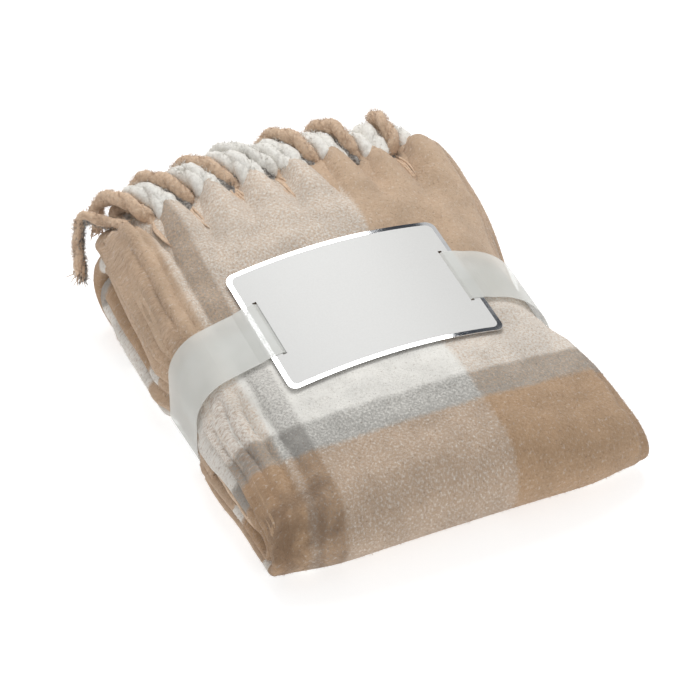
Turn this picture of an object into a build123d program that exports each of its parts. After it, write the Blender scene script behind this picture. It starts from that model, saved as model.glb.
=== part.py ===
"""A fringed throw blanket, folded into a flat bundle and held by a film band with a card.

Units are millimetres.  X runs along the front fold, +Y to the fringe at the back, +Z up.
The origin is on the ground, under the middle of the whole bundle.

The cloth is folded to a fifth of its width, and that flat strip is then rolled into five
levels: the top level ends in the fringe at the back, wraps down round the front as one smooth
fold, and the other levels lie inside.  The bundle rises towards the back, and its top is
crowned from side to side.
"""
from build123d import *
from math import asin, atan2, cos, hypot, pi, sin, sqrt, tan
import os

# ---- driving dimensions -------------------------------------------------------------------
FRONT_Y = -166.0            # front fold of the cloth
BACK_FOLD_Y = 149.0         # rearmost fold of the cloth, under the fringe
TOP_END_Y = 118.0           # woven edge of the top level, where the fringe starts
HALF_WIDTH = 125.0          # half the bundle's width
FILM = 0.3                  # thickness of the band's film
CLEARANCE = 0.3             # air between the cloth and what slides on it
BASE_Z = FILM + 0.1 + CLEARANCE   # underside of the cloth, above the film and its tape

CROWN_RADIUS = 380.0        # the top's curve from side to side
CROWN_FRONT = 64.0          # height of the crown over the front roll
CROWN_BACK = 102.0          # height of the crown over the back roll
SHOULDER_RADIUS = 28.0      # upper long edges of the bundle
WAIST_SHOULDER_RADIUS = 55.0    # upper long edge at +X under the band
FRONT_SHOULDER_RADIUS = 31.0    # and at the front fold
FRONT_SHOULDER_STEPS = [(-100.0, 46.0), (-70.0, 51.0)]    # and between them, as (y, radius)
FOOT_RADIUS = 13.0          # lower long edges of the bundle

LEVEL_PITCH_FRONT = 9.8     # height from one level of the strip to the next, at the front
LEVEL_PITCH_BACK = 17.4     # and at the back, where the levels are loose
LEVEL_GAP_FRONT = 0.5
LEVEL_GAP_BACK = 0.8
FRONT_SKIN = 14.0           # thickness of the outer wrap at the front fold
TOP_SPARE = 28.0            # extra height of the strip, which the crowned envelope trims
RIDGE_RADIUS = 3.8          # rounding of the folded edges that show on the two sides
INNER_END_Y = -70.0         # woven edge of the innermost level

BAND_Y = -13.5              # middle of the band and the card
BAND_WIDTH = 45.0
WAIST_FADE = 48.0           # length behind the band over which that edge sharpens again
BAND_CUT_X = 20.0           # where the film's two ends meet, under the bundle
BAND_CUT = 1.0
TAPE_LENGTH = 30.0
TAPE_WIDTH = 41.0
TAPE = 0.1

CARD_LENGTH = 148.0         # along X
CARD_DEPTH = 105.0          # along Y
CARD_CORNER = 6.0
BOARD = 0.4
PANEL = 0.1                 # printed layer on the board
PANEL_BORDER = 3.0          # bare mirror border round the printed layer
PAPER_GAP = 0.1             # air between film, board and panel
SLOT_X = 64.0               # inner edge of each slot
SLOT_WIDTH = 2.6
SLOT_LENGTH = 48.0
SLOT_STEP = 2.0             # the film rises through the card over this much of X
EDGE_RUN = 1.5              # the film stays level this far past the card's edge
EDGE_RAMP = 6.0             # and comes back down to the cloth over this much of X

TASSELS_ACROSS = 7
TASSEL_PITCH = 30.0
MIDDLE_TASSEL_X = -3.0
OUTER_TASSEL_RADIUS = 4.5
LOWER_TASSEL_RADIUS = 3.2
INNER_TASSEL_RADIUS = 3.0
LAYERS = 5                  # layers of cloth in the folded strip
OUTER_HANG_Y = 161.5        # where the top layer's tassels hang
LOWER_HANG_Y = 153.0        # where the other layers' tassels hang, under them
TASSEL_BEND = 8.0
TASSEL_DROP = 46.0
OUTER_TASSEL_DEPTH = 7.0    # middle of an outer tassel's root, below the top of the cloth
LOWER_TASSEL_DEPTH = 17.0
INNER_TASSEL_LENGTH = 58.0
INNER_TASSEL_PITCH = 7.1

# ---- places worked out from them ----------------------------------------------------------
LEVEL_FRONT = LEVEL_PITCH_FRONT - LEVEL_GAP_FRONT     # thickness of a level at the front
LEVEL_BACK = LEVEL_PITCH_BACK - LEVEL_GAP_BACK
FRONT_ROLL = (
    FRONT_Y + FRONT_SKIN + 2 * LEVEL_PITCH_FRONT - LEVEL_FRONT / 2,
    BASE_Z + 2 * LEVEL_PITCH_FRONT + LEVEL_FRONT / 2,
)
BACK_ROLL_RADIUS = 1.5 * LEVEL_PITCH_BACK + LEVEL_BACK / 2
BACK_ROLL = (BACK_FOLD_Y - BACK_ROLL_RADIUS, BASE_Z + BACK_ROLL_RADIUS)
CROWN_RISE = (CROWN_BACK - CROWN_FRONT) / (BACK_ROLL[0] - FRONT_ROLL[0])
FRONT_WRAP_RADIUS = (CROWN_FRONT - BASE_Z) / 2

FILM_IN = CLEARANCE                                    # film's inner face, out from the cloth
BOARD_IN = FILM_IN + FILM + PAPER_GAP
PANEL_IN = BOARD_IN + BOARD
FILM_OVER = PANEL_IN + PANEL + PAPER_GAP               # film's inner face where it is on the card


def crown_height(y):
    """Height of the top of the cloth on the middle line."""
    return CROWN_FRONT + CROWN_RISE * (y - FRONT_ROLL[0])


def crown_z(x, y, out=0.0):
    """Height of the crowned surface that lies `out` above the cloth."""
    radius = CROWN_RADIUS + out
    return crown_height(y) - CROWN_RADIUS + sqrt(radius * radius - x * x)


def shoulder_points(y, out, radius):
    """Start, middle and end of a shoulder's arc, as (x, z) on the +X side, from the side up."""
    side = HALF_WIDTH - radius
    crown_centre = crown_height(y) - CROWN_RADIUS
    centre_z = crown_centre + sqrt((CROWN_RADIUS - radius) ** 2 - side ** 2)
    lean = asin(side / (CROWN_RADIUS - radius))

    def on_arc(angle):
        return side + (radius + out) * sin(angle), centre_z + (radius + out) * cos(angle)

    return on_arc(pi / 2), on_arc((lean + pi / 2) / 2), on_arc(lean)


def section_face(y, out, right_radius):
    """The bundle's cross-section at y, grown by `out` all round: flat base, crowned top."""
    half = HALF_WIDTH + out
    foot = FOOT_RADIUS + out
    base = BASE_Z - out
    foot_middle = (half - foot + foot * sin(pi / 4), base + foot - foot * cos(pi / 4))
    right = shoulder_points(y, out, right_radius)
    left = [(-x, z) for x, z in shoulder_points(y, out, SHOULDER_RADIUS)]

    def place(point):
        return Vector(point[0], y, point[1])

    edges = [
        Line(place((foot - half, base)), place((half - foot, base))),
        ThreePointArc(
            place((half - foot, base)), place(foot_middle), place((half, base + foot))
        ),
        Line(place((half, base + foot)), place(right[0])),
        ThreePointArc(place(right[0]), place(right[1]), place(right[2])),
        ThreePointArc(place(right[2]), place((0, crown_height(y) + out)), place(left[2])),
        ThreePointArc(place(left[2]), place(left[1]), place(left[0])),
        Line(place(left[0]), place((-half, base + foot))),
        ThreePointArc(
            place((-half, base + foot)),
            place((-foot_middle[0], foot_middle[1])),
            place((foot - half, base)),
        ),
    ]
    return make_face(edges)


def cloth_envelope():
    """The whole bundle's outer shape.

    The upper edge at +X is roundest under the band, and stays rounded enough in front of it
    for the band to slide off.
    """
    waist_low = BAND_Y - BAND_WIDTH / 2 - CLEARANCE
    waist_high = BAND_Y + BAND_WIDTH / 2 + CLEARANCE
    stations = [
        (FRONT_Y - 1, FRONT_SHOULDER_RADIUS),
        *FRONT_SHOULDER_STEPS,
        (waist_low, WAIST_SHOULDER_RADIUS),
        (waist_high, WAIST_SHOULDER_RADIUS),
        (waist_high + WAIST_FADE, SHOULDER_RADIUS),
        (BACK_FOLD_Y + 1, SHOULDER_RADIUS),
    ]
    return loft([section_face(y, 0, radius) for y, radius in stations], ruled=True)


def waist_envelope(y_low, y_high, out):
    """The bundle's outer shape at the waist only, grown by `out`."""
    sections = [section_face(y, out, WAIST_SHOULDER_RADIUS) for y in (y_low, y_high)]
    return loft(sections, ruled=True)


def tangent_points(first, second):
    """Ends of the line that leaves one roll and meets the next, turning the same way.

    A roll is (y, z, radius), and the line keeps both centres on its left.
    """
    apart = hypot(second[0] - first[0], second[1] - first[1])
    aim = atan2(second[1] - first[1], second[0] - first[0])
    heading = aim - asin((second[2] - first[2]) / apart)
    across = (sin(heading), -cos(heading))
    start = (first[0] + first[2] * across[0], first[1] + first[2] * across[1])
    end = (second[0] + second[2] * across[0], second[1] + second[2] * across[1])
    return start, end, heading


def at_y(run, y):
    """The point of a straight run, or of the line it lies on, at the given y."""
    start, _, heading = run
    return Vector(0, y, start[1] + (y - start[0]) * tan(heading))


def rolled_outline(rolls):
    """One face of the strip: straight runs, and the arcs round each roll between them."""
    runs = [tangent_points(a, b) for a, b in zip(rolls, rolls[1:])]
    starts = [Vector(0, *run[0]) for run in runs]
    ends = [Vector(0, *run[1]) for run in runs]
    starts[0] = at_y(runs[0], TOP_END_Y)
    ends[-1] = at_y(runs[-1], INNER_END_Y)
    edges = [Line(start, end) for start, end in zip(starts, ends)]
    for index, (centre_y, centre_z, radius) in enumerate(rolls[1:-1]):
        heading = runs[index][2]
        turn = (runs[index + 1][2] - heading) % (2 * pi)
        middle = heading - pi / 2 + turn / 2
        crest = Vector(0, centre_y + radius * cos(middle), centre_z + radius * sin(middle))
        edges.append(ThreePointArc(ends[index], crest, starts[index + 1]))
    return edges, starts[0], ends[-1]


def level_rolls(side):
    """The circles that one face of the strip is wound round, from the top level inwards.

    side is +1 for the face that starts on the outside and -1 for the other one.
    """
    def front(levels):
        return (*FRONT_ROLL, levels * LEVEL_PITCH_FRONT + side * LEVEL_FRONT / 2)

    def back(levels):
        return (*BACK_ROLL, levels * LEVEL_PITCH_BACK + side * LEVEL_BACK / 2)

    rolls = [back(2.5), front(2), back(1.5), front(1), back(0.5), front(0)]
    if side > 0:
        rolls[0] = (*BACK_ROLL, CROWN_BACK - BACK_ROLL[1] + TOP_SPARE)
        rolls[1] = (FRONT_Y + FRONT_WRAP_RADIUS, BASE_Z + FRONT_WRAP_RADIUS, FRONT_WRAP_RADIUS)
    return rolls


def strip_profile():
    """The rolled strip seen from the side, as one face in the YZ plane."""
    outside, outside_start, outside_end = rolled_outline(level_rolls(+1))
    inside, inside_start, inside_end = rolled_outline(level_rolls(-1))
    closing = [Line(outside_start, inside_start), Line(outside_end, inside_end)]
    return make_face(outside + inside + closing)


def blanket_cloth():
    """The woven cloth: one strip in five levels, with its folded edges rounded at the sides."""
    strip = Pos(-HALF_WIDTH, 0, 0) * extrude(strip_profile(), 2 * HALF_WIDTH, dir=(1, 0, 0))
    side_edges = [
        edge for edge in strip.edges() if abs(abs(edge.center().X) - HALF_WIDTH) < 0.01
    ]
    strip = fillet(side_edges, RIDGE_RADIUS)
    return strip & cloth_envelope()


def crown_strip(corners, y_low, y_high, low, high):
    """A thin piece that follows the crown, between two heights above the cloth.

    corners lists (x, out) along the strip's lower face; equal `out` is joined by an arc.
    """
    def place(x, out):
        return Vector(x, y_low, crown_z(x, y_low, out))

    def path(offset):
        edges = []
        for (x_a, out_a), (x_b, out_b) in zip(corners, corners[1:]):
            start = place(x_a, out_a + offset)
            end = place(x_b, out_b + offset)
            if out_a == out_b:
                crest = place((x_a + x_b) / 2, out_a + offset)
                edges.append(ThreePointArc(start, crest, end))
            else:
                edges.append(Line(start, end))
        return edges

    sides = [
        Line(place(x, out + low), place(x, out + high)) for x, out in (corners[0], corners[-1])
    ]
    length = y_high - y_low
    along = Vector(0, length, length * CROWN_RISE)
    return extrude(make_face(path(low) + path(high) + sides), along.length, dir=along)


def band_film():
    """The film band: round the bundle, and through the card's slots over its two ends."""
    y_low = BAND_Y - BAND_WIDTH / 2
    y_high = BAND_Y + BAND_WIDTH / 2
    ring = waist_envelope(y_low, y_high, FILM_IN + FILM)
    ring -= waist_envelope(y_low, y_high, FILM_IN)
    ring -= Pos(BAND_CUT_X, BAND_Y, 0) * Box(BAND_CUT, 2 * BAND_WIDTH, 4 * FILM)
    card_end = CARD_LENGTH / 2
    over_low = SLOT_X + (SLOT_WIDTH - SLOT_STEP) / 2
    over_high = card_end + EDGE_RUN + EDGE_RAMP
    for side in (-1, 1):
        gap_middle = side * (over_low + over_high) / 2
        gap = Box(over_high - over_low, 2 * BAND_WIDTH, 2 * SHOULDER_RADIUS)
        ring -= Pos(gap_middle, BAND_Y, crown_height(BAND_Y)) * gap
    for side in (-1, 1):
        corners = [
            (side * over_low, FILM_IN),
            (side * (over_low + SLOT_STEP), FILM_OVER),
            (side * (card_end + EDGE_RUN), FILM_OVER),
            (side * over_high, FILM_IN),
        ]
        ring += crown_strip(corners, y_low, y_high, 0, FILM)
    return ring


def band_tape():
    """Clear tape on the film's inner face, across the joint of its two ends."""
    tape = Box(TAPE_LENGTH, TAPE_WIDTH, TAPE)
    return Pos(BAND_CUT_X, BAND_Y, BASE_Z - FILM_IN + TAPE / 2) * tape


def card_layer(low, high, border):
    """One layer of the card: arched with the crown, round-cornered, with its two slots."""
    half_length = CARD_LENGTH / 2 - border
    half_depth = CARD_DEPTH / 2 - border
    spare = 4.0
    corners = [(-half_length - spare, 0), (half_length + spare, 0)]
    y_low = BAND_Y - half_depth - spare
    y_high = BAND_Y + half_depth + spare
    sheet = crown_strip(corners, y_low, y_high, low, high)
    outline = RectangleRounded(2 * half_length, 2 * half_depth, CARD_CORNER - border / 2)
    cutter_height = crown_height(y_high) + 4 * spare
    sheet &= Pos(0, BAND_Y, 0) * extrude(outline, cutter_height)
    for side in (-1, 1):
        slot = Box(SLOT_WIDTH, SLOT_LENGTH, 3 * cutter_height)
        sheet -= Pos(side * (SLOT_X + SLOT_WIDTH / 2), BAND_Y, 0) * slot
    return sheet


def tassel(x, start_z, hang_y, radius):
    """A twisted tassel: from the woven edge over the back and down, with round ends."""
    start = Vector(x, TOP_END_Y + CLEARANCE + radius, start_z)
    crest = Vector(x, hang_y - TASSEL_BEND, start_z)
    hip = Vector(x, hang_y, start_z - TASSEL_BEND)
    tip = Vector(x, hang_y, start_z - TASSEL_DROP)
    path = Wire([Line(start, crest), TangentArc(crest, hip, tangent=(0, 1, 0)), Line(hip, tip)])
    cord = sweep(Plane(start, z_dir=(0, 1, 0)) * Circle(radius), path)
    for end in (start, tip):
        cord += Pos(*end) * Sphere(radius)
    return cord


def tassel_x(index):
    return MIDDLE_TASSEL_X + (index - (TASSELS_ACROSS - 1) / 2) * TASSEL_PITCH


def outer_tassel_root(index):
    """Where an outer tassel leaves the cloth: its x and its height."""
    x = tassel_x(index)
    return x, crown_z(x, TOP_END_Y) - OUTER_TASSEL_DEPTH


def lower_tassels(layer):
    """The tassels of one of the four lower layers, side by side with the other layers'."""
    pitch = TASSEL_PITCH / (LAYERS - 1)
    lowest = BACK_ROLL[1] + BACK_ROLL_RADIUS + CLEARANCE + LOWER_TASSEL_RADIUS
    tassels = []
    for index in range(TASSELS_ACROSS):
        shift = (layer - 1 - (LAYERS - 2) / 2) * pitch
        x = tassel_x(index) + shift
        start_z = max(crown_z(x, TOP_END_Y) - LOWER_TASSEL_DEPTH, lowest)
        tassels.append(tassel(x, start_z, LOWER_HANG_Y, LOWER_TASSEL_RADIUS))
    return Compound(children=tassels)


def inner_tassels(layer):
    """The tassels of one layer at the cloth's inner end, straight inside the front roll."""
    radius = INNER_TASSEL_RADIUS
    middle_line = tangent_points((*BACK_ROLL, LEVEL_PITCH_BACK / 2), (*FRONT_ROLL, 0))
    tassels = []
    for index in range(TASSELS_ACROSS):
        place = index * LAYERS + layer - (TASSELS_ACROSS * LAYERS - 1) / 2
        across = Vector(place * INNER_TASSEL_PITCH, 0, 0)
        far = across + at_y(middle_line, INNER_END_Y - INNER_TASSEL_LENGTH)
        near = across + at_y(middle_line, INNER_END_Y - CLEARANCE - radius)
        cord = extrude(Plane(far, z_dir=(near - far)) * Circle(radius), (near - far).length)
        for end in (far, near):
            cord += Pos(*end) * Sphere(radius)
        tassels.append(cord)
    return Compound(children=tassels)


def write(shape, name):
    export_step(shape, f"parts/{name}.step")


os.makedirs("parts", exist_ok=True)
write(blanket_cloth(), "blanket_cloth")
write(band_film(), "band_film")
write(band_tape(), "band_tape")
write(card_layer(BOARD_IN, BOARD_IN + BOARD, 0), "card_board")
write(card_layer(PANEL_IN, PANEL_IN + PANEL, PANEL_BORDER), "card_print_panel")
for number in range(TASSELS_ACROSS):
    root_x, root_z = outer_tassel_root(number)
    write(tassel(root_x, root_z, OUTER_HANG_Y, OUTER_TASSEL_RADIUS), f"tassel_{number + 1}")
for layer_number in range(1, LAYERS):
    write(lower_tassels(layer_number), f"fringe_layer_{layer_number + 1}")
for layer_number in range(LAYERS):
    write(inner_tassels(layer_number), f"inner_fringe_layer_{layer_number + 1}")
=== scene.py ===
"""Looks of the folded fringed throw: cloth, tassels, film band and card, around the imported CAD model.

Everything is in metres, in the model's own frame: +X along the front fold, +Y to the fringe,
+Z up, with the origin on the ground under the middle of the bundle.
"""
import math

import bpy
import numpy as np
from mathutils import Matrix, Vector


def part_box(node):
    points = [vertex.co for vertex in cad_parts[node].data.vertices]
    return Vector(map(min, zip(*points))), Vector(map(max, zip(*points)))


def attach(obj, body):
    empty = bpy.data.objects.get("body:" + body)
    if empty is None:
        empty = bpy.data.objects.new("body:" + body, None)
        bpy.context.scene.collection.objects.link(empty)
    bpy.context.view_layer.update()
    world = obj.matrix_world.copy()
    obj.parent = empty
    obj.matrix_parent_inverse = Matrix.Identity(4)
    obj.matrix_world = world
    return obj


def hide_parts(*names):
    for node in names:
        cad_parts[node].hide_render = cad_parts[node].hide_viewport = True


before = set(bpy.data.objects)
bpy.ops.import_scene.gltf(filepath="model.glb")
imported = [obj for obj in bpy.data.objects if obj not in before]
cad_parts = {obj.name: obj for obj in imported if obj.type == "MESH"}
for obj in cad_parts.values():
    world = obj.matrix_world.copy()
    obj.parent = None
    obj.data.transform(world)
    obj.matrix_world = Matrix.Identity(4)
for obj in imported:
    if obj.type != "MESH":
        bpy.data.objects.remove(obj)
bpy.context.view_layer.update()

MM = 0.001
SEED = 5

# ---- the bundle, as in the CAD model -------------------------------------------------------
cloth_low, cloth_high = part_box("blanket_cloth")
card_low, card_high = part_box("card_board")
film_low, film_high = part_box("band_film")
HALF_WIDTH = cloth_high.x
FRONT_Y = cloth_low.y
BACK_Y = cloth_high.y
BASE_Z = cloth_low.z
TOP_END_Y = BACK_Y - 31 * MM          # woven edge of the top level
INNER_END_Y = -70 * MM                # woven edge of the innermost level
BAND_Y = (film_low.y + film_high.y) / 2
BAND_HALF = (film_high.y - film_low.y) / 2
CARD_HALF_X = (card_high.x - card_low.x) / 2
CARD_HALF_Y = (card_high.y - card_low.y) / 2

CROWN_RADIUS = 380 * MM
CROWN_FRONT = 64 * MM
CROWN_BACK = 102 * MM
SHOULDER_RADIUS = 28 * MM
WAIST_SHOULDER_RADIUS = 55 * MM       # at +X, where the band squeezes the open edges
WAIST_FADE = 48 * MM
FOOT_RADIUS = 13 * MM
PITCH_FRONT = 9.8 * MM
PITCH_BACK = 17.4 * MM
GAP_FRONT = 0.5 * MM
GAP_BACK = 0.8 * MM
FRONT_ROLL = (FRONT_Y + 14 * MM + 2 * PITCH_FRONT - 4.65 * MM, BASE_Z + 2 * PITCH_FRONT + 4.65 * MM)
BACK_ROLL_RADIUS = 1.5 * PITCH_BACK + (PITCH_BACK - GAP_BACK) / 2
BACK_ROLL = (BACK_Y - BACK_ROLL_RADIUS, BASE_Z + BACK_ROLL_RADIUS)
ROLL_SPAN = BACK_ROLL[0] - FRONT_ROLL[0]

# ---- the cloth -----------------------------------------------------------------------------
CLOTH_THICKNESS = 2.0 * MM
PLUMP = 3 * MM                        # how far the loose cloth stands outside the CAD section
SQUEEZE_DEPTH = 18 * MM               # how deep into the bundle the band's squeeze reaches
TASSEL_PITCH = 30 * MM
TASSELS = 7
TASSEL_X = [(i - (TASSELS - 1) / 2) * TASSEL_PITCH - 3 * MM for i in range(TASSELS)]


def smooth(value, low, high):
    """0 below low, 1 above high, and a smooth rise between them."""
    t = np.clip((value - low) / (high - low), 0, 1)
    return t * t * (3 - 2 * t)


def ripple(x, y, scale, seed):
    """Smooth uneven waves from -1 to 1, the same on every run."""
    rng = np.random.default_rng(seed)
    total = 0
    for _ in range(7):
        angle = rng.uniform(0, math.pi)
        phase = rng.uniform(0, 2 * math.pi)
        stretch = rng.uniform(0.6, 1.5)
        total = total + np.sin(
            (x * math.cos(angle) + y * math.sin(angle)) * 2 * math.pi * stretch / scale + phase
        )
    return total / 4.0


# ---- the strip's path through the bundle ----------------------------------------------------
def tangent_points(first, second):
    """Ends and heading of the line from one roll to the next; a roll is (y, z, radius)."""
    apart = math.hypot(second[0] - first[0], second[1] - first[1])
    aim = math.atan2(second[1] - first[1], second[0] - first[0])
    heading = aim - math.asin((second[2] - first[2]) / apart)
    across = np.array([math.sin(heading), -math.cos(heading)])
    start = np.array(first[:2]) + first[2] * across
    end = np.array(second[:2]) + second[2] * across
    return start, end, heading


def level_path():
    """The middle line of the rolled strip: place, outward normal, run number and distance.

    Runs are the top level, front roll, bottom level, back roll and so on, inwards.
    """
    def front(levels):
        return (*FRONT_ROLL, levels * PITCH_FRONT)

    def back(levels):
        return (*BACK_ROLL, levels * PITCH_BACK)

    rolls = [back(2.5), front(2), back(1.5), front(1), back(0.5), front(0)]
    line_steps = [2.6, 7.0, 5.0, 5.5, 8.0]
    arc_steps = [2.6, 3.2, 4.0, 4.0]
    lines = [tangent_points(a, b) for a, b in zip(rolls, rolls[1:])]
    points, normals, runs = [], [], []
    for index, (start, end, heading) in enumerate(lines):
        direction = np.array([math.cos(heading), math.sin(heading)])
        if index == 0:
            start = start + direction * (TOP_END_Y - start[0]) / direction[0]
        if index == len(lines) - 1:
            end = end + direction * (INNER_END_Y - end[0]) / direction[0]
        count = max(2, int(np.linalg.norm(end - start) / (line_steps[index] * MM)))
        for t in np.linspace(0, 1, count + 1)[: None if index == len(lines) - 1 else -1]:
            points.append(start + (end - start) * t)
            normals.append((math.sin(heading), -math.cos(heading)))
            runs.append(2 * index)
        if index + 1 < len(lines):
            centre = np.array(rolls[index + 1][:2])
            radius = rolls[index + 1][2]
            turn = (lines[index + 1][2] - heading) % (2 * math.pi)
            count = max(5, int(turn * radius / (arc_steps[index] * MM)))
            for t in np.linspace(0, 1, count + 1)[:-1]:
                angle = heading + turn * t
                normal = (math.sin(angle), -math.cos(angle))
                points.append(centre + radius * np.array(normal))
                normals.append(normal)
                runs.append(2 * index + 1)
    points = np.array(points)
    steps = np.linalg.norm(np.diff(points, axis=0), axis=1)
    return points, np.array(normals), np.array(runs), np.concatenate([[0], np.cumsum(steps)])


def strip_section():
    """The five layers across the strip, as rows of x = a * half width + b * layer pitch.

    Returns a, b, the height in layer pitches, and the flat distance from the free edge.
    The outer layer comes first, from its free edge at +X, and the others wind inside it.
    """
    rows = []

    def flat(x_from, x_to, height, count):
        for t in np.linspace(0, 1, count + 1)[:-1]:
            a = x_from[0] + (x_to[0] - x_from[0]) * t
            b = x_from[1] + (x_to[1] - x_from[1]) * t
            rows.append((a, b, height))

    def fold(side, radius, middle, count):
        for t in np.linspace(0, math.pi, count + 1)[:-1]:
            height = middle + side * -radius * math.cos(t)
            rows.append((side, side * (radius * math.sin(t) - reach[side]), height))

    reach = {-1: 2.0, 1: 1.5}
    left, right = (-1, 2.0), (1, -1.5)
    flat((0.965, 0), left, 2, 92)
    fold(-1, 2.0, 0, 16)
    flat(left, right, -2, 8)
    fold(1, 1.5, -0.5, 14)
    flat(right, left, 1, 14)
    fold(-1, 1.0, 0, 6)
    flat(left, right, -1, 6)
    fold(1, 0.5, -0.5, 5)
    flat(right, (-0.9, 0), 0, 6)
    rows.append((-0.9, 0, 0))
    rows = np.array(rows)
    pitch = 3 * MM
    x = rows[:, 0] * HALF_WIDTH + rows[:, 1] * pitch
    steps = np.hypot(np.diff(x), np.diff(rows[:, 2] * pitch))
    return rows[:, 0], rows[:, 1], rows[:, 2], np.concatenate([[0], np.cumsum(steps)])


# ---- from the square stack to the real shape -------------------------------------------------
def crown_height(y):
    return CROWN_FRONT + (CROWN_BACK - CROWN_FRONT) * (y - FRONT_ROLL[0]) / ROLL_SPAN


def stack_height(y):
    """Height of the plain stack of levels before it is crowned."""
    front_top = BASE_Z + 5 * PITCH_FRONT - GAP_FRONT
    back_top = BASE_Z + 5 * PITCH_BACK - GAP_BACK
    return front_top + (back_top - front_top) * (y - FRONT_ROLL[0]) / ROLL_SPAN


def shoulder_radius(x, y, plain):
    """Radius of the upper long edge: the given one, and rounder at +X under the band."""
    from_band = np.abs(y - BAND_Y) - BAND_HALF
    squeeze = (1 - smooth(from_band, 0, 1.4 * WAIST_FADE)) * (x > 0)
    return plain + (WAIST_SHOULDER_RADIUS - plain) * squeeze


def top_height(x, y, plain):
    """Height of the crowned top, with rounded shoulders of the given radius."""
    shoulder = shoulder_radius(x, y, plain)
    crown = CROWN_RADIUS + PLUMP
    side = HALF_WIDTH + PLUMP - shoulder
    centre = crown_height(y) - CROWN_RADIUS
    shoulder_z = centre + np.sqrt((crown - shoulder) ** 2 - side ** 2)
    reach = np.clip(np.abs(x) - side, 0, shoulder * 0.97)
    on_shoulder = shoulder_z + np.sqrt(shoulder ** 2 - reach ** 2)
    on_crown = centre + np.sqrt(crown ** 2 - np.minimum(np.abs(x), side + shoulder) ** 2)
    lean = crown * side / (crown - shoulder)
    return np.where(np.abs(x) < lean, on_crown, on_shoulder)


def outside_section(x, y, z):
    """Distance outside the CAD section at y, and the outward direction in x and z."""
    half = np.abs(x)
    sign = np.where(x < 0, -1.0, 1.0)
    centre = crown_height(y) - CROWN_RADIUS
    shoulder = shoulder_radius(x, y, SHOULDER_RADIUS)
    side = HALF_WIDTH - shoulder
    shoulder_z = centre + np.sqrt((CROWN_RADIUS - shoulder) ** 2 - side ** 2)
    lean = np.arcsin(side / (CROWN_RADIUS - shoulder))
    foot_x = HALF_WIDTH - FOOT_RADIUS
    foot_z = BASE_Z + FOOT_RADIUS

    crown_r = np.hypot(half, z - centre)
    shoulder_r = np.hypot(half - side, z - shoulder_z)
    foot_r = np.hypot(half - foot_x, z - foot_z)
    on_crown = (np.arctan2(half, z - centre) < lean) & (z > shoulder_z * 0.6)
    on_shoulder = ~on_crown & (z > shoulder_z) & (half > side)
    on_foot = ~on_crown & ~on_shoulder & (z < foot_z) & (half > foot_x)
    on_side = ~on_crown & ~on_shoulder & ~on_foot & (half > foot_x)
    choices = [on_crown, on_shoulder, on_foot, on_side]
    gap = np.select(
        choices,
        [crown_r - CROWN_RADIUS, shoulder_r - shoulder, foot_r - FOOT_RADIUS, half - HALF_WIDTH],
        -1.0,
    )
    out_x = np.select(
        choices,
        [half / crown_r, (half - side) / shoulder_r, (half - foot_x) / foot_r, np.ones_like(x)],
        0.0,
    )
    out_z = np.select(
        choices,
        [(z - centre) / crown_r, (z - shoulder_z) / shoulder_r, (z - foot_z) / foot_r, np.zeros_like(x)],
        0.0,
    )
    return gap, out_x * sign, out_z


def loose_room(x, y, z):
    """How far the middle of the outermost layer may stand outside the CAD section.

    It is pressed in by the band and the card, and swells beside them.
    """
    from_band = np.abs(y - BAND_Y)
    pressed = 1 - smooth(from_band, BAND_HALF - 1 * MM, BAND_HALF + 16 * MM)
    on_top = smooth(z, 0.55 * crown_height(y), 0.75 * crown_height(y))
    under_card_x = 1 - smooth(np.abs(x), CARD_HALF_X - 2 * MM, CARD_HALF_X + 14 * MM)
    under_card_y = 1 - smooth(from_band, CARD_HALF_Y - 2 * MM, CARD_HALF_Y + 16 * MM)
    pressed = np.maximum(pressed, under_card_x * under_card_y * on_top)
    side_swell = smooth(np.abs(x), 60 * MM, 120 * MM)
    swell = 3.2 * MM + 2.6 * MM * side_swell * np.exp(-((from_band - 52 * MM) / (34 * MM)) ** 2)
    swell = swell * (1 - (x > 0) * (1 - smooth(from_band, 25 * MM, 100 * MM)) * side_swell)
    swell = swell + 1.3 * MM * ripple(x, y, 90 * MM, 3)
    tight = -(CLOTH_THICKNESS / 2 + 0.15 * MM)
    return tight * pressed + swell * (1 - pressed)


# Valleys along the shoulder at -X: distance over the top from the middle, and depth, in mm.
SIDE_GROOVES = [(104, 3.2), (117, 4.2), (131, 3.6), (146, 2.8)]


def side_grooves(x, y, z):
    """Depth of the valleys that run along the left shoulder, between its soft ridges."""
    over = np.abs(x) + np.clip(crown_height(y) - z, 0, None)
    over = over + 3 * MM * ripple(y, z * 0, 90 * MM, 31)
    total = np.zeros_like(x)
    for place, depth in SIDE_GROOVES:
        total += depth * MM * np.exp(-np.abs((over - place * MM) / (2.6 * MM)) ** 1.6)
    fade = smooth(y, FRONT_Y + 12 * MM, FRONT_Y + 45 * MM)
    return total * fade * (x < 0)


def pleats(x, y, weight):
    """Narrow valleys running to the tassels' roots, and puffs between them."""
    near = smooth(y, TOP_END_Y - 66 * MM, TOP_END_Y)
    rng = np.random.default_rng(SEED)
    total = np.zeros_like(x)
    for root in TASSEL_X:
        width = (2.6 + 5.4 * near) * MM * rng.uniform(0.85, 1.15)
        bend = rng.uniform(-3, 3) * MM * (1 - near)
        depth = rng.uniform(6.5, 8.5) * MM
        total -= depth * np.exp(-np.abs((x - root - bend) / width) ** 1.5)
    puff = 3.2 * MM * np.cos(2 * math.pi * ((x - TASSEL_X[0]) / TASSEL_PITCH - 0.5)) + 1.8 * MM
    return (total + puff) * near * weight


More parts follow.
